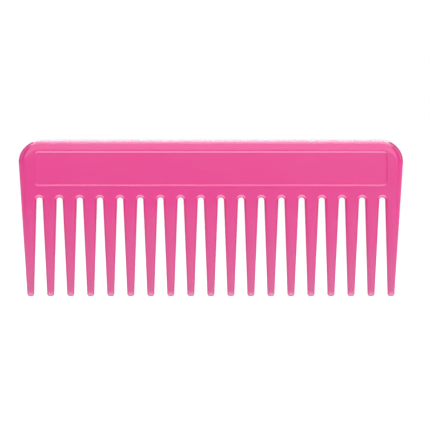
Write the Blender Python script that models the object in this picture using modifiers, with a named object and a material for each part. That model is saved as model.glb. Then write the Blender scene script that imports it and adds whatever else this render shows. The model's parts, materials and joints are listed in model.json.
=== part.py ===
"""Wide tooth comb: one moulding, laid out as a spine and nineteen tapered teeth.

The comb stands upright with its teeth down. X runs along the spine, Y through the
thickness with the front face towards -Y, and Z from the tooth tips up to the top edge.
"""

import math

import bmesh
import bpy

# Driving dimensions, in metres
LENGTH = 0.172                 # across the two sides, where they are widest
HEIGHT = 0.07                  # from the tooth tips to the top edge
THICKNESS = 0.005              # spine, front face to back face
TIP_THICKNESS = 0.003          # tooth, front to back at its tip

TOOTH_COUNT = 19
ROOT_PITCH = 0.00902           # tooth to tooth along the line of the roots
TIP_PITCH = 0.008955           # tooth to tooth along the line of the tips
ROOT_GAP = 0.00257             # gap between two teeth at their roots
TIP_GAP = 0.00592              # gap between two teeth at their tips
GAP_TOP = 0.0442               # height of the rounded top of each gap

SIDE_TAPER = 0.0651            # how far each side leans in per metre of height
CORNER_RADIUS = 0.0099         # top corners, seen from the front
RIM_ROUNDING = 0.0022          # edges of the top and the two sides
TOOTH_ROUNDING = 0.0011        # long edges of a tooth
TIP_ROUNDING = 0.00135         # end of a tooth

PANEL_HALF_LENGTH = 0.0786     # recessed panel on both faces of the spine
PANEL_BOTTOM = 0.0498
PANEL_TOP = 0.0643
PANEL_DEPTH = 0.0003
PANEL_CORNER = 0.0009

CLEARANCE = 0.0003             # gap left between a tooth and the spine
WELD_DISTANCE = 0.00001
FLAT_DEGREES = 0.5             # faces closer than this to one plane are joined
SHARP_DEGREES = 35             # edges steeper than this stay sharp in the shading
CORNER_STEPS = 8
ARCH_STEPS = 8
ROUNDING_SEGMENTS = 4

ARCH_RADIUS = ROOT_GAP / 2
ROOT_HEIGHT = GAP_TOP - ARCH_RADIUS
TOOTH_HEIGHT = ROOT_HEIGHT - CLEARANCE
SIDE_START = HEIGHT - CORNER_RADIUS
END_INDEX = TOOTH_COUNT // 2
HALF_ROOT = (ROOT_PITCH - ROOT_GAP) / 2
HALF_TIP = (TIP_PITCH - TIP_GAP) / 2

PINK = (0.80, 0.095, 0.32, 1.0)


def clear_scene():
    """Remove every object that the scene starts with."""
    for thing in list(bpy.data.objects):
        bpy.data.objects.remove(thing, do_unlink=True)


def new_collection(name):
    """Make a collection and link it under the scene."""
    collection = bpy.data.collections.new(name)
    bpy.context.scene.collection.children.link(collection)
    return collection


def comb_plastic():
    """Return the glossy pink plastic that the whole comb is moulded in."""
    material = bpy.data.materials.new("comb_plastic")
    material.use_nodes = True
    shader = material.node_tree.nodes["Principled BSDF"]
    shader.inputs["Base Color"].default_value = PINK
    shader.inputs["Roughness"].default_value = 0.25
    shader.inputs["Metallic"].default_value = 0.0
    return material


def side_x(z):
    """Return the half width of the comb at a height below its top corners."""
    return LENGTH / 2 - SIDE_TAPER * (SIDE_START - z)


def arc_points(centre_x, centre_z, radius, start_degrees, end_degrees, steps):
    """Return points along an arc in the XZ plane, both ends included."""
    points = []
    for step in range(steps + 1):
        angle = math.radians(start_degrees + (end_degrees - start_degrees) * step / steps)
        x = centre_x + radius * math.cos(angle)
        z = centre_z + radius * math.sin(angle)
        points.append((x, z))
    return points


def spine_outline():
    """Return the spine's outline, anticlockwise, with one half-round arch over each gap."""
    points = [(-side_x(ROOT_HEIGHT), ROOT_HEIGHT)]
    for gap in range(TOOTH_COUNT - 1):
        centre = (gap + 0.5 - END_INDEX) * ROOT_PITCH
        points += arc_points(centre, ROOT_HEIGHT, ARCH_RADIUS, 180, 0, ARCH_STEPS)
    points.append((side_x(ROOT_HEIGHT), ROOT_HEIGHT))
    corner_x = LENGTH / 2 - CORNER_RADIUS
    points += arc_points(corner_x, SIDE_START, CORNER_RADIUS, 0, 90, CORNER_STEPS)
    points += arc_points(-corner_x, SIDE_START, CORNER_RADIUS, 90, 180, CORNER_STEPS)
    return points


def outline_solid(name, points, thickness, collection):
    """Make a flat solid, centred on Y = 0, from a closed outline in the XZ plane."""
    curve = bpy.data.curves.new(name + "_outline", "CURVE")
    curve.dimensions = "2D"
    curve.fill_mode = "BOTH"
    curve.extrude = thickness / 2
    spline = curve.splines.new("POLY")
    spline.points.add(len(points) - 1)
    for point, (x, z) in zip(spline.points, points):
        point.co = (x, z, 0, 1)
    spline.use_cyclic_u = True

    drawn = bpy.data.objects.new(name + "_outline", curve)
    collection.objects.link(drawn)
    drawn.rotation_euler = (math.radians(90), 0, 0)
    bpy.context.view_layer.update()
    evaluated = drawn.evaluated_get(bpy.context.evaluated_depsgraph_get())
    mesh = bpy.data.meshes.new_from_object(evaluated)

    welded = bmesh.new()
    welded.from_mesh(mesh)
    bmesh.ops.remove_doubles(welded, verts=welded.verts, dist=WELD_DISTANCE)
    bmesh.ops.dissolve_limit(
        welded,
        angle_limit=math.radians(FLAT_DEGREES),
        verts=welded.verts,
        edges=welded.edges,
    )
    bmesh.ops.recalc_face_normals(welded, faces=welded.faces)
    welded.to_mesh(mesh)
    welded.free()

    solid = bpy.data.objects.new(name, mesh)
    solid.matrix_world = drawn.matrix_world
    collection.objects.link(solid)
    bpy.data.objects.remove(drawn, do_unlink=True)
    return solid


def set_bevel_weights(mesh, weight_of_edge):
    """Store a bevel weight on every edge, worked out from the edge's two end points."""
    weights = mesh.attributes.new("bevel_weight_edge", "FLOAT", "EDGE")
    for edge in mesh.edges:
        start = mesh.vertices[edge.vertices[0]].co
        end = mesh.vertices[edge.vertices[1]].co
        weights.data[edge.index].value = weight_of_edge(start, end)


def add_bevel(solid, width):
    """Round the weighted edges of a solid."""
    bevel = solid.modifiers.new("rounded_edges", "BEVEL")
    bevel.limit_method = "WEIGHT"
    bevel.offset_type = "OFFSET"
    bevel.width = width
    bevel.segments = ROUNDING_SEGMENTS


def finish_mesh(mesh, material):
    """Give a mesh its material and smooth shading between sharp edges."""
    mesh.materials.append(material)
    mesh.shade_smooth()
    mesh.set_sharp_from_angle(angle=math.radians(SHARP_DEGREES))


def panel_cutter(name, face_y, collection):
    """Make the rounded box that sinks one recessed panel into a face of the spine."""
    box = bmesh.new()
    bmesh.ops.create_cube(box, size=1.0)
    height = PANEL_TOP - PANEL_BOTTOM
    for vert in box.verts:
        vert.co.x *= 2 * PANEL_HALF_LENGTH
        vert.co.y *= 2 * PANEL_DEPTH
        vert.co.z *= height
    through_edges = []
    for edge in box.edges:
        if abs(edge.verts[0].co.y - edge.verts[1].co.y) > PANEL_DEPTH:
            through_edges.append(edge)
    bmesh.ops.bevel(
        box,
        geom=through_edges,
        offset=PANEL_CORNER,
        segments=ROUNDING_SEGMENTS,
        profile=0.5,
        affect="EDGES",
    )
    mesh = bpy.data.meshes.new(name)
    box.to_mesh(mesh)
    box.free()
    cutter = bpy.data.objects.new(name, mesh)
    cutter.location = (0, face_y, (PANEL_TOP + PANEL_BOTTOM) / 2)
    cutter.hide_render = True
    cutter.display_type = "WIRE"
    collection.objects.link(cutter)
    return cutter


def make_spine(parts, cutters, material, parent):
    """Make the spine: rounded top and sides, arches below, a panel sunk in each face."""
    spine = outline_solid("spine", spine_outline(), THICKNESS, parts)

    def rim_weight(start, end):
        # The outline was drawn in the mesh's own XY plane, so its Z is the thickness
        in_face = abs(start.z - end.z) < WELD_DISTANCE
        above_roots = max(start.y, end.y) > GAP_TOP + CLEARANCE
        return 1.0 if in_face and above_roots else 0.0

    set_bevel_weights(spine.data, rim_weight)
    add_bevel(spine, RIM_ROUNDING)
    for face, sign in (("front", -1), ("back", 1)):
        cutter = panel_cutter(face + "_panel_cutter", sign * THICKNESS / 2, cutters)
        cut = spine.modifiers.new(face + "_panel", "BOOLEAN")
        cut.operation = "DIFFERENCE"
        cut.object = cutter
    finish_mesh(spine.data, material)
    spine.parent = parent


def tooth_mesh(name, outer_root, outer_tip, outer_rounding, material):
    """Make a tooth that hangs from its root centre, with its outer side towards +X."""
    block = bmesh.new()
    bmesh.ops.create_cube(block, size=1.0)
    for vert in block.verts:
        at_root = vert.co.z > 0
        outer = vert.co.x > 0
        depth = THICKNESS if at_root else TIP_THICKNESS
        if outer:
            vert.co.x = outer_root if at_root else outer_tip
        else:
            vert.co.x = -HALF_ROOT if at_root else -HALF_TIP
        vert.co.y *= depth
        vert.co.z = 0.0 if at_root else -TOOTH_HEIGHT
    mesh = bpy.data.meshes.new(name)
    block.to_mesh(mesh)
    block.free()

    def edge_weight(start, end):
        if start.z > -CLEARANCE and end.z > -CLEARANCE:
            return 0.0
        if abs(start.z - end.z) < CLEARANCE:
            return 1.0
        rounding = outer_rounding if start.x > 0 else TOOTH_ROUNDING
        return rounding / TIP_ROUNDING

    set_bevel_weights(mesh, edge_weight)
    finish_mesh(mesh, material)
    return mesh


def make_teeth(parts, material, parent):
    """Hang the nineteen teeth below the spine, each leaning in a little towards the middle."""
    inner_mesh = tooth_mesh("tooth", HALF_ROOT, HALF_TIP, TOOTH_ROUNDING, material)
    end_root = side_x(TOOTH_HEIGHT) - END_INDEX * ROOT_PITCH
    end_tip = side_x(0.0) - END_INDEX * TIP_PITCH
    end_mesh = tooth_mesh("end_tooth", end_root, end_tip, TIP_ROUNDING, material)

    for number in range(1, TOOTH_COUNT + 1):
        offset = number - 1 - END_INDEX
        is_end = abs(offset) == END_INDEX
        tooth = bpy.data.objects.new("tooth_%02d" % number, end_mesh if is_end else inner_mesh)
        lean = math.atan(abs(offset) * (ROOT_PITCH - TIP_PITCH) / TOOTH_HEIGHT)
        turn = math.radians(180) if offset < 0 else 0.0
        tooth.location = (offset * ROOT_PITCH, 0, TOOTH_HEIGHT)
        tooth.rotation_euler = (0, lean, turn)
        tooth.parent = parent
        parts.objects.link(tooth)
        add_bevel(tooth, TIP_ROUNDING)


def build():
    """Build the comb's parts under one empty at the middle of the tooth tips."""
    clear_scene()
    parts = new_collection("wide_tooth_comb")
    cutters = new_collection("comb_cutters")
    comb = bpy.data.objects.new("comb_origin", None)
    parts.objects.link(comb)
    material = comb_plastic()
    make_spine(parts, cutters, material, comb)
    make_teeth(parts, material, comb)


build()
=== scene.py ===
"""Looks of the wide tooth comb: fine moulded surfaces, glossy plastic, studio and camera.

The comb is one moulding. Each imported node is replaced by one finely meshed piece, and a
tooth and the spine share the same outline where they meet, so the surface runs on
without a seam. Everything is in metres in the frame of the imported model: X along the
spine, the front face towards -Y, and Z up from the tooth tips.
"""

import json
import math

import bmesh
import bpy
import numpy as np
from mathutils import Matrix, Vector
from mathutils.geometry import delaunay_2d_cdt


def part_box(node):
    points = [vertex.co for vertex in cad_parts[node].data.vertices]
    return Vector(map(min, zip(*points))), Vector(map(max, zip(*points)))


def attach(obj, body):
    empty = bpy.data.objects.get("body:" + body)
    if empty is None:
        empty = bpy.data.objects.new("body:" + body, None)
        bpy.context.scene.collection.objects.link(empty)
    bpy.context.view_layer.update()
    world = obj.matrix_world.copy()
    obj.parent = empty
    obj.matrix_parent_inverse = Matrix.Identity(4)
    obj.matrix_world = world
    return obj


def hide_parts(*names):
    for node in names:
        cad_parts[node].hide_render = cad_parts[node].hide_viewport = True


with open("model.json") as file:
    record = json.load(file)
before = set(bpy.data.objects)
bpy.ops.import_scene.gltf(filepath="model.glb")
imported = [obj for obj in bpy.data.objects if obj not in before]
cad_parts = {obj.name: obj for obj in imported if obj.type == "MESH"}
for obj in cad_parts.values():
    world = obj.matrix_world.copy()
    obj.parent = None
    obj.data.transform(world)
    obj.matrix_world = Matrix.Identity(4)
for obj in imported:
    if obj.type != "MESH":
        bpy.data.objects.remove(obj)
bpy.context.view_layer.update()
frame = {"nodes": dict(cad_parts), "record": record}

MM = 0.001

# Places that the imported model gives
SPINE_LOW, SPINE_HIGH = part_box("spine")
MIDDLE_LOW, MIDDLE_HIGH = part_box("tooth_10")
NEXT_LOW, NEXT_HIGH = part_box("tooth_11")
TOOTH_COUNT = sum(node.startswith("tooth_") for node in frame["nodes"])
END_INDEX = TOOTH_COUNT // 2
HALF_LENGTH = SPINE_HIGH.x
TOP = SPINE_HIGH.z
HALF_THICKNESS = SPINE_HIGH.y
ROOT = SPINE_LOW.z
ROOT_PITCH = (NEXT_LOW.x + NEXT_HIGH.x - MIDDLE_LOW.x - MIDDLE_HIGH.x) / 2
HALF_ROOT = (MIDDLE_HIGH.x - MIDDLE_LOW.x) / 2
ARCH_RADIUS = ROOT_PITCH / 2 - HALF_ROOT
FRONT_PANEL = next(mount for mount in frame["record"]["mounts"] if mount["name"] == "front_panel")

# Outline
CORNER_RADIUS = 9.9 * MM
SIDE_TAPER = 0.0651              # how far each side leans in, per metre down
SIDE_ANGLE = math.atan(SIDE_TAPER)
CORNER_X = HALF_LENGTH - CORNER_RADIUS
CORNER_Z = TOP - CORNER_RADIUS
SIDE_TOP_X = CORNER_X + CORNER_RADIUS * math.cos(SIDE_ANGLE)
SIDE_TOP_Z = CORNER_Z - CORNER_RADIUS * math.sin(SIDE_ANGLE)

# Teeth
TIP_LEAN = 0.065 * MM            # each tooth leans in by this at its tip, per tooth from the middle
TOOTH_TAPER = 0.0385             # how far each side of a tooth leans in, per metre down
TAPER_BEND = 0.6 * MM            # stretch below the root where that taper sets in
TAPER_BEND_STEPS = 4
FACE_TAPER = 0.0251              # how far each face of a tooth leans in, per metre down
FACE_BEND = 6.0 * MM
ROUND_BELOW = 14.0 * MM          # stretch below the root where the flat faces turn convex
OVAL_POWER = 2.7                 # 2 is an ellipse, more is squarer
OVAL_SAMPLES = 400
DOME = 1.25 * MM                 # height of the rounded end of a tooth
DOME_POWER = 2.4                 # 2 is half an ellipse, more is blunter
DOME_STEPS = 9

# Edges
TOP_ROUNDING = 4.6 * MM
SIDE_ROUNDING = 3.4 * MM
GAP_ROUNDING = 1.45 * MM
EDGE_START = 6.0                 # degrees round the edge where the parting line has ended
EDGE_STEPS = 8
RIDGE = 0.02 * MM                # parting line that stands out where the mould's halves met
RIDGE_HALF_WIDTH = 0.06 * MM

# Recessed panel on each face of the spine
PANEL_SIDE_MARGIN = 7.4 * MM
PANEL_TOP_MARGIN = 5.45 * MM
PANEL_ABOVE_ROOT = 6.8 * MM
PANEL_DEPTH = HALF_THICKNESS + FRONT_PANEL["pos_m"][1]
PANEL_CORNER = 1.5 * MM
STEP_WIDTH = 0.88 * MM
STEP_LINES = 12

# Round ejector marks on the front of every sixth tooth
MARK_EVERY = 6
MARK_BELOW_ROOT = 4.1 * MM
MARK_RADIUS = 0.9 * MM
MARK_EDGE = 0.25 * MM
MARK_DEPTH = 0.05 * MM
MARK_STEP = 0.12 * MM

# Mesh density
FACE_STEPS = 24
ARCH_STEPS = 18
ARCH_FIRST_STEP = 1.5            # degrees, so that a tooth's side runs straight into its arch
CORNER_STEPS = 20
PANEL_CORNER_STEPS = 8
ALONG_STEP = 2.0 * MM
TOOTH_STEP = 1.0 * MM
SAME_POINT = 0.001 * MM
CUT_TOLERANCE = SAME_POINT / 100
SHARP_ANGLE = math.radians(50)
FLAT_ANGLE = math.radians(1)     # triangles this close to one plane are joined into quads
SKEW_ANGLE = math.radians(60)    # unless a corner would be this far from a right angle


# ---------------------------------------------------------------- shared shape


def smooth(value):
    """Ease from 0 to 1 with level ends."""
    value = np.clip(value, 0.0, 1.0)
    return value * value * (3 - 2 * value)


def soft_ramp(distance, bend):
    """Grow with distance at a slope of 1, after a smooth bend away from 0."""
    if distance < bend:
        return distance * distance / (2 * bend)
    return distance - bend / 2


def spread(start, end, step):
    """Return evenly spaced values from start to end, both included."""
    count = max(1, round(abs(end - start) / step))
    return [start + (end - start) * number / count for number in range(count + 1)]


def side_x(z):
    """Return the comb's half width at a height below its top corners."""
    return SIDE_TOP_X - SIDE_TAPER * (SIDE_TOP_Z - z)


def edge_profile(width):
    """Return (inset, half thickness) pairs from the parting line in to the flat face."""
    points = [(0.0, 0.0), (RIDGE, RIDGE_HALF_WIDTH)]
    for step in range(EDGE_STEPS + 1):
        angle = math.radians(EDGE_START + (90 - EDGE_START) * step / EDGE_STEPS)
        inset = RIDGE + (width - RIDGE) * (1 - math.cos(angle))
        points.append((inset, HALF_THICKNESS * math.sin(angle)))
    return points


def tooth_sides(offset, z):
    """Return the left and right edge of a tooth at a height; the middle tooth has offset 0."""
    down = ROOT - z
    centre = offset * (ROOT_PITCH - TIP_LEAN * soft_ramp(down, TAPER_BEND) / ROOT)
    half = HALF_ROOT - TOOTH_TAPER * soft_ramp(down, TAPER_BEND)
    left, right = centre - half, centre + half
    if offset == -END_INDEX:
        left = -side_x(z)
    if offset == END_INDEX:
        right = side_x(z)
    return left, right


def root_profile(offset):
    """Return (x, half thickness) across the root of a tooth, from its left to its right."""
    left, right = tooth_sides(offset, ROOT)
    left_edge = edge_profile(SIDE_ROUNDING if offset == -END_INDEX else GAP_ROUNDING)
    right_edge = edge_profile(SIDE_ROUNDING if offset == END_INDEX else GAP_ROUNDING)
    flat_left = left + left_edge[-1][0]
    flat_right = right - right_edge[-1][0]
    points = [(left + inset, y) for inset, y in left_edge]
    for step in range(1, FACE_STEPS):
        points.append((flat_left + (flat_right - flat_left) * step / FACE_STEPS, HALF_THICKNESS))
    points += [(right - inset, y) for inset, y in reversed(right_edge)]
    return points


def finished_piece(name, shape, node, materials):
    """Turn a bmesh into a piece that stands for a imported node."""
    bmesh.ops.recalc_face_normals(shape, faces=shape.faces)
    mesh = bpy.data.meshes.new(name)
    shape.to_mesh(mesh)
    shape.free()
    for material in materials:
        mesh.materials.append(material)
    mesh.shade_smooth()
    mesh.set_sharp_from_angle(angle=SHARP_ANGLE)
    piece = bpy.data.objects.new(name, mesh)
    bpy.context.scene.collection.objects.link(piece)
    normals = piece.modifiers.new("flat_faces_stay_flat", "WEIGHTED_NORMAL")
    normals.keep_sharp = True
    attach(piece, "root")
    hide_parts(node)
    return piece


# ---------------------------------------------------------------- spine


class Face:
    """Points and lines of one face of the spine, each point with its half thickness."""

    def __init__(self):
        self.places = []
        self.depths = []
        self.lines = []
        self.index = {}

    def add(self, x, z, depth):
        """Add a point, unless it is there already, and return its number."""
        key = (round(x / SAME_POINT), round(z / SAME_POINT))
        if key not in self.index:
            self.index[key] = len(self.places)
            self.places.append(Vector((x, z)))
            self.depths.append(depth)
        return self.index[key]

    def chain(self, points, closed=False):
        """Add a line through (x, z, depth) points and return their numbers."""
        numbers = [self.add(*point) for point in points]
        self.lines += zip(numbers, numbers[1:])
        if closed:
            self.lines.append((numbers[-1], numbers[0]))
        return numbers


def rim_line(side_point, top_point):
    """Return one line of the rounded rim, from the left root over the top to the right one."""
    side_inset, depth = side_point
    top_inset = top_point[0]
    root_x = side_inset - side_x(ROOT)
    arc = []
    for number in range(CORNER_STEPS + 1):
        share = number / CORNER_STEPS
        angle = math.pi + SIDE_ANGLE - share * (math.pi / 2 + SIDE_ANGLE)
        reach = CORNER_RADIUS - side_inset - (top_inset - side_inset) * smooth(share)
        arc.append((reach * math.cos(angle) - CORNER_X, CORNER_Z + reach * math.sin(angle), depth))
    points = []
    for share in spread(0.0, 1.0, ALONG_STEP / (SIDE_TOP_Z - ROOT))[:-1]:
        x = root_x + (arc[0][0] - root_x) * share
        z = ROOT + (arc[0][1] - ROOT) * share
        points.append((x, z, depth))
    points += arc
    for x in spread(-CORNER_X, 0.0, ALONG_STEP)[1:]:
        points.append((x, TOP - top_inset, depth))
    return points + [(-x, z, depth) for x, z, depth in reversed(points[:-1])]


def arch_line(centre, inset, depth):
    """Return one line over the rounded top of a gap, from its left to its right."""
    between = spread(180 - ARCH_FIRST_STEP, ARCH_FIRST_STEP, 180 / ARCH_STEPS)
    points = []
    for degrees in [180.0] + between + [0.0]:
        angle = math.radians(degrees)
        x = centre + (ARCH_RADIUS + inset) * math.cos(angle)
        z = ROOT + (ARCH_RADIUS + inset) * math.sin(angle)
        points.append((x, z, depth))
    return points


def panel_line(share):
    """Return one closed line of the step into the panel: 0 is outside, 1 on its floor."""
    out = STEP_WIDTH * (0.5 - share)
    depth = HALF_THICKNESS - PANEL_DEPTH * (1 - math.cos(math.pi * share)) / 2
    radius = PANEL_CORNER + out
    half_x = HALF_LENGTH - PANEL_SIDE_MARGIN - PANEL_CORNER
    low_z = ROOT + PANEL_ABOVE_ROOT + PANEL_CORNER
    high_z = TOP - PANEL_TOP_MARGIN - PANEL_CORNER
    corners = (
        (half_x, low_z, -90),
        (half_x, high_z, 0),
        (-half_x, high_z, 90),
        (-half_x, low_z, 180),
    )
    points = []
    for number, (x, z, start) in enumerate(corners):
        for step in range(PANEL_CORNER_STEPS + 1):
            angle = math.radians(start + 90 * step / PANEL_CORNER_STEPS)
            points.append((x + radius * math.cos(angle), z + radius * math.sin(angle), depth))
        next_x, next_z, _ = corners[(number + 1) % len(corners)]
        shift_x, shift_z = next_x - x, next_z - z
        from_x, from_z, _ = points[-1]
        for along in spread(0.0, 1.0, ALONG_STEP / math.hypot(shift_x, shift_z))[1:-1]:
            points.append((from_x + shift_x * along, from_z + shift_z * along, depth))
    return points


def spine_face():
    """Lay out the face of the spine. Return it with its outline and its tooth roots."""
    face = Face()
    gap_edge = edge_profile(GAP_ROUNDING)
    outline = []
    roots = []
    for offset in range(-END_INDEX, END_INDEX + 1):
        roots.append(face.chain([(x, ROOT, depth) for x, depth in root_profile(offset)]))
        outline += roots[-1]
        if offset < END_INDEX:
            centre = (offset + 0.5) * ROOT_PITCH
            arches = [face.chain(arch_line(centre, *point)) for point in gap_edge]
            outline += arches[0][1:-1]
    edges = zip(edge_profile(SIDE_ROUNDING), edge_profile(TOP_ROUNDING))
    rims = [face.chain(rim_line(*pair)) for pair in edges]
    outline += reversed(rims[0][1:-1])
    for step in range(STEP_LINES + 1):
        face.chain(panel_line(step / STEP_LINES), closed=True)
    return face, outline, roots


def on_panel_floor(points):
    """Tell whether points of the face all lie on the floor of the panel."""
    half_x = HALF_LENGTH - PANEL_SIDE_MARGIN
    low_z = ROOT + PANEL_ABOVE_ROOT
    high_z = TOP - PANEL_TOP_MARGIN
    return all(abs(x) < half_x and low_z < z < high_z for x, z in points)


def make_spine(plastic, satin):
    """Make the spine as one closed mesh: two faces, and a flat cut at each tooth root."""
    face, outline, roots = spine_face()
    cut = delaunay_2d_cdt(face.places, face.lines, [outline], 1, CUT_TOLERANCE)
    places, _, triangles, sources = cut[:4]
    made_from = {number: made for made, group in enumerate(sources) for number in group}

    shape = bmesh.new()
    front = []
    back = []
    for place, group in zip(places, sources):
        depth = face.depths[group[0]]
        front.append(shape.verts.new((place.x, -depth, place.y)))
        back.append(shape.verts.new((place.x, depth, place.y)) if depth > 0 else front[-1])
    for triangle in triangles:
        facing = shape.faces.new([front[number] for number in triangle])
        behind = shape.faces.new([back[number] for number in reversed(triangle)])
        if on_panel_floor([places[number] for number in triangle]):
            facing.material_index = behind.material_index = 1
    bmesh.ops.join_triangles(
        shape,
        faces=shape.faces,
        cmp_materials=True,
        angle_face_threshold=FLAT_ANGLE,
        angle_shape_threshold=SKEW_ANGLE,
    )
    for root in roots:
        ring = [front[made_from[number]] for number in root]
        ring += [back[made_from[number]] for number in reversed(root[1:-1])]
        shape.faces.new(ring)
    return finished_piece("moulded_spine", shape, "spine", [plastic, satin])


# ---------------------------------------------------------------- teeth


def arc_shares(x, y):
    """Return how far along a line each of its points lies, from 0 to 1."""
    lengths = np.concatenate(([0.0], np.cumsum(np.hypot(np.diff(x), np.diff(y)))))
    return lengths / lengths[-1]


def half_oval(shares):
    """Return x and y of a squarish half oval from x = -1 to 1, at shares of its length."""
    angles = np.linspace(0.0, math.pi, OVAL_SAMPLES)
    x = -np.sign(np.cos(angles)) * np.abs(np.cos(angles)) ** (2 / OVAL_POWER)
    y = np.abs(np.sin(angles)) ** (2 / OVAL_POWER)
    along = arc_shares(x, y)
    return np.array((np.interp(shares, along, x), np.interp(shares, along, y)))


def tooth_sections(offset):
    """Return a tooth's cross-section at its root and lower down, scaled to half sizes of 1."""
    x, y = np.array(root_profile(offset)).T
    x[0] += RIDGE
    x[-1] -= RIDGE
    centre, half = (x[0] + x[-1]) / 2, (x[-1] - x[0]) / 2
    root = np.array(((x - centre) / half, y / HALF_THICKNESS))
    return root, half_oval(arc_shares(x, y))


def tooth_ring(offset, sections, z, shrink, has_mark):
    """Return the closed cross-section of a tooth at a height, as points."""
    root, oval = sections
    down = ROOT - z
    left, right = tooth_sides(offset, z)
    centre, half = (left + right) / 2, (right - left) / 2 - RIDGE
    thickness = HALF_THICKNESS - FACE_TAPER * soft_ramp(down, FACE_BEND)
    x, y = root + (oval - root) * smooth(down / ROUND_BELOW)
    x = x * half
    x[0] -= RIDGE
    x[-1] += RIDGE
    x = x * shrink
    y = y * thickness * shrink
    lift = np.zeros_like(y)
    if has_mark:
        distance = np.hypot(x, down - MARK_BELOW_ROOT)
        lift = -MARK_DEPTH * smooth((MARK_RADIUS - distance) / MARK_EDGE + 0.5)
    front = list(zip(x + centre, -y - lift, [z] * len(x)))
    back = list(zip(x + centre, y, [z] * len(x)))
    return front + back[-2:0:-1]


def ring_heights(has_mark):
    """Return the heights of a tooth's cross-sections, from its root down to its dome."""
    reach = MARK_RADIUS + MARK_EDGE
    mark_top = ROOT - MARK_BELOW_ROOT + reach
    mark_bottom = ROOT - MARK_BELOW_ROOT - reach
    heights = spread(ROOT, ROOT - TAPER_BEND, TAPER_BEND / TAPER_BEND_STEPS)
    heights += spread(ROOT - TAPER_BEND, mark_top, TOOTH_STEP)[1:]
    heights += spread(mark_top, mark_bottom, MARK_STEP if has_mark else TOOTH_STEP)[1:]
    heights += spread(mark_bottom, DOME, TOOTH_STEP)[1:]
    return heights


def make_tooth(number, plastic):
    """Make one tooth as a closed mesh: a flat cut at its root, a long taper and a dome."""
    offset = number - 1 - END_INDEX
    has_mark = (number - 1) % MARK_EVERY == 0
    sections = tooth_sections(offset)
    stages = [(z, 1.0) for z in ring_heights(has_mark)]
    for step in range(1, DOME_STEPS):
        angle = math.radians(90 * step / DOME_STEPS)
        rise = math.sin(angle) ** (2 / DOME_POWER)
        stages.append((DOME * (1 - rise), math.cos(angle) ** (2 / DOME_POWER)))

    shape = bmesh.new()
    rings = []
    for z, shrink in stages:
        points = tooth_ring(offset, sections, z, shrink, has_mark)
        rings.append([shape.verts.new(point) for point in points])
    shape.faces.new(rings[0])
    for upper, lower in zip(rings, rings[1:]):
        for index, corner in enumerate(upper):
            before = index - 1
            shape.faces.new((upper[before], corner, lower[index], lower[before]))
    left, right = tooth_sides(offset, 0.0)
    pole = shape.verts.new(((left + right) / 2, 0.0, 0.0))
    for index, corner in enumerate(rings[-1]):
        shape.faces.new((rings[-1][index - 1], corner, pole))
    name = "tooth_%02d" % number
    return finished_piece("moulded_" + name, shape, name, [plastic])


# ---------------------------------------------------------------- plastic

ROOT_PINK = (0.755, 0.040, 0.258, 1.0)
# the pink at the tips, lightened as a painted reflection of the white table
TIP_REFLECTION_PINK = (0.665, 0.104, 0.296, 1.0)
# a painted highlight on the rounded ends of the teeth
TIP_HIGHLIGHT_PINK = (0.75, 0.27, 0.45, 1.0)
# a painted highlight along the spine's edges that face down
EDGE_HIGHLIGHT_PINK = (0.93, 0.38, 0.59, 1.0)
TIP_HIGHLIGHT_HEIGHT = 2.9 * MM         # the ends of the teeth carry a painted highlight up to here
TIP_HIGHLIGHT_FULLY = 0.35 * TIP_HIGHLIGHT_HEIGHT
TIP_HIGHLIGHT_FACING = (0.3, 0.9)       # outward part of the normal, squared, where the painted tip highlight sets in
EDGE_HIGHLIGHT_FACING = (0.25, 0.6)        # and where the painted highlight along the edges does
EDGE_HIGHLIGHT_DOWNWARD = (-0.22, -0.52)   # upward part of the normal where that line sets in
EDGE_HIGHLIGHT_FADE = 1.0 * MM             # stretch above the teeth over which it sets in

GLOSSY_DULLNESS = 0.19           # roughness of the polished surfaces
SATIN_DULLNESS = 0.21            # roughness of the floor of the panel
GRAIN_DULLNESS = 0.03            # the most that the grain adds to that roughness
SCRATCH_DULLNESS = 0.03          # and the scratches of one direction
REFRACTION = 1.49

NOISE_RANGE = (0.3, 0.7)         # where most values of a noise lie
SCRATCH_PEAKS = (0.60, 0.75)     # the values that stand out as scratches
CLOUD_SCALE = 60
CLOUD_STRETCH = (0.5, 1.0, 1.0)
CLOUD_SHIFT = 0.12               # how far a cloud moves the colour from one pink to the other
GRAIN_SCALE = 900
SCRATCHES = (                    # how each direction is stretched, and its turn in degrees
    ((0.12, 1.0, 1.0), 14),
    ((1.0, 1.0, 0.10), -9),
)
RIPPLE_SCALE = 220
RIPPLE_STRENGTH = 0.04
RIPPLE_HEIGHT = 0.02 * MM
FINE_SCALE = 1600
FINE_STRENGTH = 0.2
FINE_HEIGHT = 0.004 * MM


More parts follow.
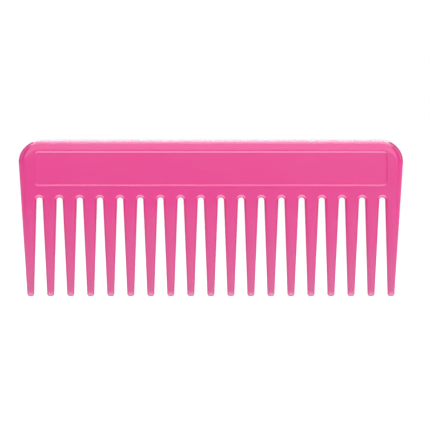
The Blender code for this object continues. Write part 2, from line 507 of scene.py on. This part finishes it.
class Nodes:
    """Short ways to add and join the nodes of a material."""

    def __init__(self, material):
        self.tree = material.node_tree

    def add(self, kind, **settings):
        """Add a node; settings are its properties."""
        node = self.tree.nodes.new("ShaderNode" + kind)
        for name, value in settings.items():
            setattr(node, name, value)
        return node

    def join(self, source, target):
        """Join an output to an input."""
        self.tree.links.new(source, target)

    def noise(self, place, scale, detail, stretch=(1, 1, 1), turn=0.0):
        """Return the value of a noise, from 0 to 1, stretched and turned about Y."""
        mapping = self.add("Mapping")
        mapping.inputs["Rotation"].default_value = (0, math.radians(turn), 0)
        mapping.inputs["Scale"].default_value = stretch
        noise = self.add("TexNoise")
        noise.inputs["Scale"].default_value = scale
        noise.inputs["Detail"].default_value = detail
        self.join(place, mapping.inputs["Vector"])
        self.join(mapping.outputs["Vector"], noise.inputs["Vector"])
        return noise.outputs["Fac"]

    def remap(self, value, low, high, to_low, to_high):
        """Return a value moved from one range to another and kept inside it."""
        node = self.add("MapRange")
        ranges = {"From Min": low, "From Max": high, "To Min": to_low, "To Max": to_high}
        for name, number in ranges.items():
            node.inputs[name].default_value = number
        self.join(value, node.inputs["Value"])
        return node.outputs["Result"]

    def combine(self, operation, first, second):
        """Return the sum, product or other combination of two values."""
        node = self.add("Math", operation=operation)
        self.join(first, node.inputs[0])
        self.join(second, node.inputs[1])
        return node.outputs["Value"]

    def blend(self, share, first, second):
        """Return a mix of two colours; each is a colour or another node's output."""
        node = self.add("Mix", data_type="RGBA")
        self.join(share, node.inputs[0])
        for colour, socket in ((first, node.inputs[6]), (second, node.inputs[7])):
            if isinstance(colour, tuple):
                socket.default_value = colour
            else:
                self.join(colour, socket)
        return node.outputs[2]

    def bump(self, relief, strength, height, below=None):
        """Return the normal of a relief, on top of another one if that is given."""
        node = self.add("Bump")
        node.inputs["Strength"].default_value = strength
        node.inputs["Distance"].default_value = height
        self.join(relief, node.inputs["Height"])
        if below is not None:
            self.join(below, node.inputs["Normal"])
        return node.outputs["Normal"]


def flow_pink_and_tip_reflection(nodes, place, height):
    """Return the pink: painted lighter towards the tips as a reflection of the white table, with
    faint clouds drawn out along the flow.
    """
    tip_reflection = nodes.remap(height, 0.0, ROOT, 1.0, 0.0)
    clouds = nodes.noise(place, CLOUD_SCALE, 4, stretch=CLOUD_STRETCH)
    cloud_shift = nodes.remap(clouds, *NOISE_RANGE, -CLOUD_SHIFT, CLOUD_SHIFT)
    return nodes.blend(nodes.combine("ADD", tip_reflection, cloud_shift), ROOT_PINK, TIP_REFLECTION_PINK)


def tip_highlight_share(nodes, height, outward):
    """Return where the painted highlight on the tooth ends lies: the middle of each face near the
    end of a tooth.
    """
    low = nodes.remap(height, TIP_HIGHLIGHT_FULLY, TIP_HIGHLIGHT_HEIGHT, 1.0, 0.0)
    inside = nodes.remap(outward, *TIP_HIGHLIGHT_FACING, 0.0, 1.0)
    return nodes.combine("MULTIPLY", nodes.combine("MULTIPLY", low, low), inside)


def edge_highlight_share(nodes, height, upward, outward):
    """Return where a painted highlight lies: along the spine's edges that face down."""
    downward = nodes.remap(upward, *EDGE_HIGHLIGHT_DOWNWARD, 0.0, 1.0)
    rounded = nodes.remap(outward, *EDGE_HIGHLIGHT_FACING, 0.0, 1.0)
    above_teeth = nodes.remap(height, ROOT, ROOT + EDGE_HIGHLIGHT_FADE, 0.0, 1.0)
    return nodes.combine("MULTIPLY", nodes.combine("MULTIPLY", downward, rounded), above_teeth)


def fine_scratches(nodes, place):
    """Return the scratches from use, as what they add to the roughness."""
    directions = []
    for stretch, turn in SCRATCHES:
        streaks = nodes.noise(place, GRAIN_SCALE, 2, stretch=stretch, turn=turn)
        directions.append(nodes.remap(streaks, *SCRATCH_PEAKS, 0.0, SCRATCH_DULLNESS))
    return nodes.combine("ADD", *directions)


def moulded_plastic(name, dullness):
    """Return the pink plastic, with flow clouds, fine scratches and a soft ripple."""
    material = bpy.data.materials.new(name)
    material.use_nodes = True
    nodes = Nodes(material)
    shader = material.node_tree.nodes["Principled BSDF"]
    shader.inputs["IOR"].default_value = REFRACTION
    place = nodes.add("TexCoord").outputs["Object"]
    position = nodes.add("SeparateXYZ")
    nodes.join(place, position.inputs["Vector"])
    height = position.outputs["Z"]
    facing = nodes.add("SeparateXYZ")
    nodes.join(nodes.add("NewGeometry").outputs["Normal"], facing.inputs["Vector"])
    outward = nodes.combine("MULTIPLY", facing.outputs["Y"], facing.outputs["Y"])

    # Colour
    # the ends of the teeth get a painted highlight
    tip_highlight = tip_highlight_share(nodes, height, outward)
    # the spine's edges that face down get a painted highlight
    edge = edge_highlight_share(nodes, height, facing.outputs["Z"], outward)
    # the pink is painted lighter towards the tips, standing in for the white table's reflection
    pink_with_tip_highlight = nodes.blend(tip_highlight, flow_pink_and_tip_reflection(nodes, place, height), TIP_HIGHLIGHT_PINK)
    nodes.join(nodes.blend(edge, pink_with_tip_highlight, EDGE_HIGHLIGHT_PINK), shader.inputs["Base Color"])

    # Gloss: an even sheen, dulled a little by a fine grain and by the scratches
    grain = nodes.noise(place, GRAIN_SCALE, 3)
    sheen = nodes.remap(grain, *NOISE_RANGE, dullness, dullness + GRAIN_DULLNESS)
    scratches = fine_scratches(nodes, place)
    nodes.join(nodes.combine("ADD", sheen, scratches), shader.inputs["Roughness"])

    # Relief: the slow ripple of a cooled moulding, the grain and the scratches
    ripple = nodes.bump(nodes.noise(place, RIPPLE_SCALE, 1), RIPPLE_STRENGTH, RIPPLE_HEIGHT)
    relief = nodes.combine("ADD", nodes.noise(place, FINE_SCALE, 2), scratches)
    fine = nodes.bump(relief, FINE_STRENGTH, FINE_HEIGHT, below=ripple)
    nodes.join(fine, shader.inputs["Normal"])
    return material


# ---------------------------------------------------------------- studio

FLOOR_SIZE = 40.0
FLOOR_GREY = 0.3
FLOOR_GLOW = 1.0                 # the table glows white, so that it shows no shadow
HORIZON_LIGHT = 0.10             # what reaches the comb from the horizon
SKY_LIGHT = 0.16                 # and from overhead
SKY_START = 0.1                  # sine of the height where the horizon starts to brighten
SKY_END = 0.6                    # and where it is as bright as overhead
COMB_CENTRE = (0.0, 0.0, TOP / 2)


def make_floor():
    """Lay a plain white light table under the comb."""
    bpy.ops.mesh.primitive_plane_add(size=FLOOR_SIZE)
    floor = bpy.context.active_object
    floor.name = "floor"
    material = bpy.data.materials.new("light_table")
    material.use_nodes = True
    shader = material.node_tree.nodes["Principled BSDF"]
    shader.inputs["Base Color"].default_value = (FLOOR_GREY, FLOOR_GREY, FLOOR_GREY, 1.0)
    shader.inputs["Roughness"].default_value = 0.9
    shader.inputs["Specular IOR Level"].default_value = 0.0
    shader.inputs["Emission Color"].default_value = (1.0, 1.0, 1.0, 1.0)
    shader.inputs["Emission Strength"].default_value = FLOOR_GLOW
    floor.data.materials.append(material)


def make_world():
    """Show white behind the comb, and light it from a dim horizon and a brighter sky."""
    world = bpy.data.worlds.new("studio")
    bpy.context.scene.world = world
    world.use_nodes = True
    tree = world.node_tree
    shown = tree.nodes["Background"]
    shown.inputs["Color"].default_value = (1.0, 1.0, 1.0, 1.0)
    shown.inputs["Strength"].default_value = 1.0
    direction = tree.nodes.new("ShaderNodeTexCoord")
    height = tree.nodes.new("ShaderNodeSeparateXYZ")
    rise = tree.nodes.new("ShaderNodeMapRange")
    rise.inputs["From Min"].default_value = SKY_START
    rise.inputs["From Max"].default_value = SKY_END
    rise.inputs["To Min"].default_value = HORIZON_LIGHT
    rise.inputs["To Max"].default_value = SKY_LIGHT
    lit = tree.nodes.new("ShaderNodeBackground")
    path = tree.nodes.new("ShaderNodeLightPath")
    mix = tree.nodes.new("ShaderNodeMixShader")
    tree.links.new(direction.outputs["Generated"], height.inputs["Vector"])
    tree.links.new(height.outputs["Z"], rise.inputs["Value"])
    tree.links.new(rise.outputs["Result"], lit.inputs["Strength"])
    tree.links.new(path.outputs["Is Camera Ray"], mix.inputs["Fac"])
    tree.links.new(lit.outputs["Background"], mix.inputs[1])
    tree.links.new(shown.outputs["Background"], mix.inputs[2])
    tree.links.new(mix.outputs["Shader"], tree.nodes["World Output"].inputs["Surface"])


def soft_light(name, place, size, glow, shine=True, colour=True):
    """Hang a soft rectangular light that makes the comb's shine, its colour, or both."""
    light = bpy.data.lights.new(name, "AREA")
    light.shape = "RECTANGLE"
    light.size, light.size_y = size
    light.energy = glow * math.pi * size[0] * size[1]
    lamp = bpy.data.objects.new(name, light)
    bpy.context.scene.collection.objects.link(lamp)
    lamp.location = place
    towards_comb = Vector(COMB_CENTRE) - Vector(place)
    lamp.rotation_euler = towards_comb.to_track_quat("-Z", "Y").to_euler()
    lamp.visible_camera = False
    lamp.visible_glossy = shine
    lamp.visible_diffuse = colour


def make_lights():
    """Light the comb from the front, from both sides, from above and from behind."""
    soft_light("key", (0.56, -1.5, 0.06), (0.95, 0.95), 4.7, shine=False)
    soft_light("fill", (-0.65, -0.75, 0.05), (0.6, 0.6), 0.7, shine=False)
    soft_light("left_wing", (-0.76, -0.14, 0.6), (0.6, 1.0), 1.5)
    soft_light("right_wing", (0.76, -0.14, 0.6), (0.6, 1.0), 1.9)
    soft_light("sheen", (0.0, -0.83, 0.58), (1.2, 1.02), 3.4, colour=False)
    soft_light("ceiling", (0.0, -0.26, 0.86), (1.1, 0.54), 7.2, colour=False)
    soft_light("strip", (0.0, 0.26, 0.87), (0.85, 0.73), 11.0, colour=False)
    soft_light("back", (-0.5, 0.9, 0.6), (0.6, 0.6), 4.0)


LENS = 200.0
SENSOR = 36.0
VIEW_WIDTH = 192.45 * MM          # what the picture's width spans at the comb
VIEW_CENTRE_X = 1.85 * MM
VIEW_CENTRE_Z = TOP / 2 + 1.4 * MM


def make_camera():
    """Look straight at the front face, from far enough away to see it almost square on."""
    camera = bpy.data.cameras.new("camera")
    camera.lens = LENS
    camera.sensor_width = SENSOR
    viewer = bpy.data.objects.new("camera", camera)
    bpy.context.scene.collection.objects.link(viewer)
    viewer.location = (VIEW_CENTRE_X, -VIEW_WIDTH * LENS / SENSOR, VIEW_CENTRE_Z)
    viewer.rotation_euler = (math.radians(90), 0, 0)
    bpy.context.scene.camera = viewer


glossy_plastic = moulded_plastic("glossy_plastic", GLOSSY_DULLNESS)
satin_plastic = moulded_plastic("satin_plastic", SATIN_DULLNESS)
make_spine(glossy_plastic, satin_plastic)
for tooth_number in range(1, TOOTH_COUNT + 1):
    make_tooth(tooth_number, glossy_plastic)
make_floor()
make_world()
make_lights()
make_camera()
bpy.context.scene.view_settings.view_transform = "Standard"

bpy.context.view_layer.update()
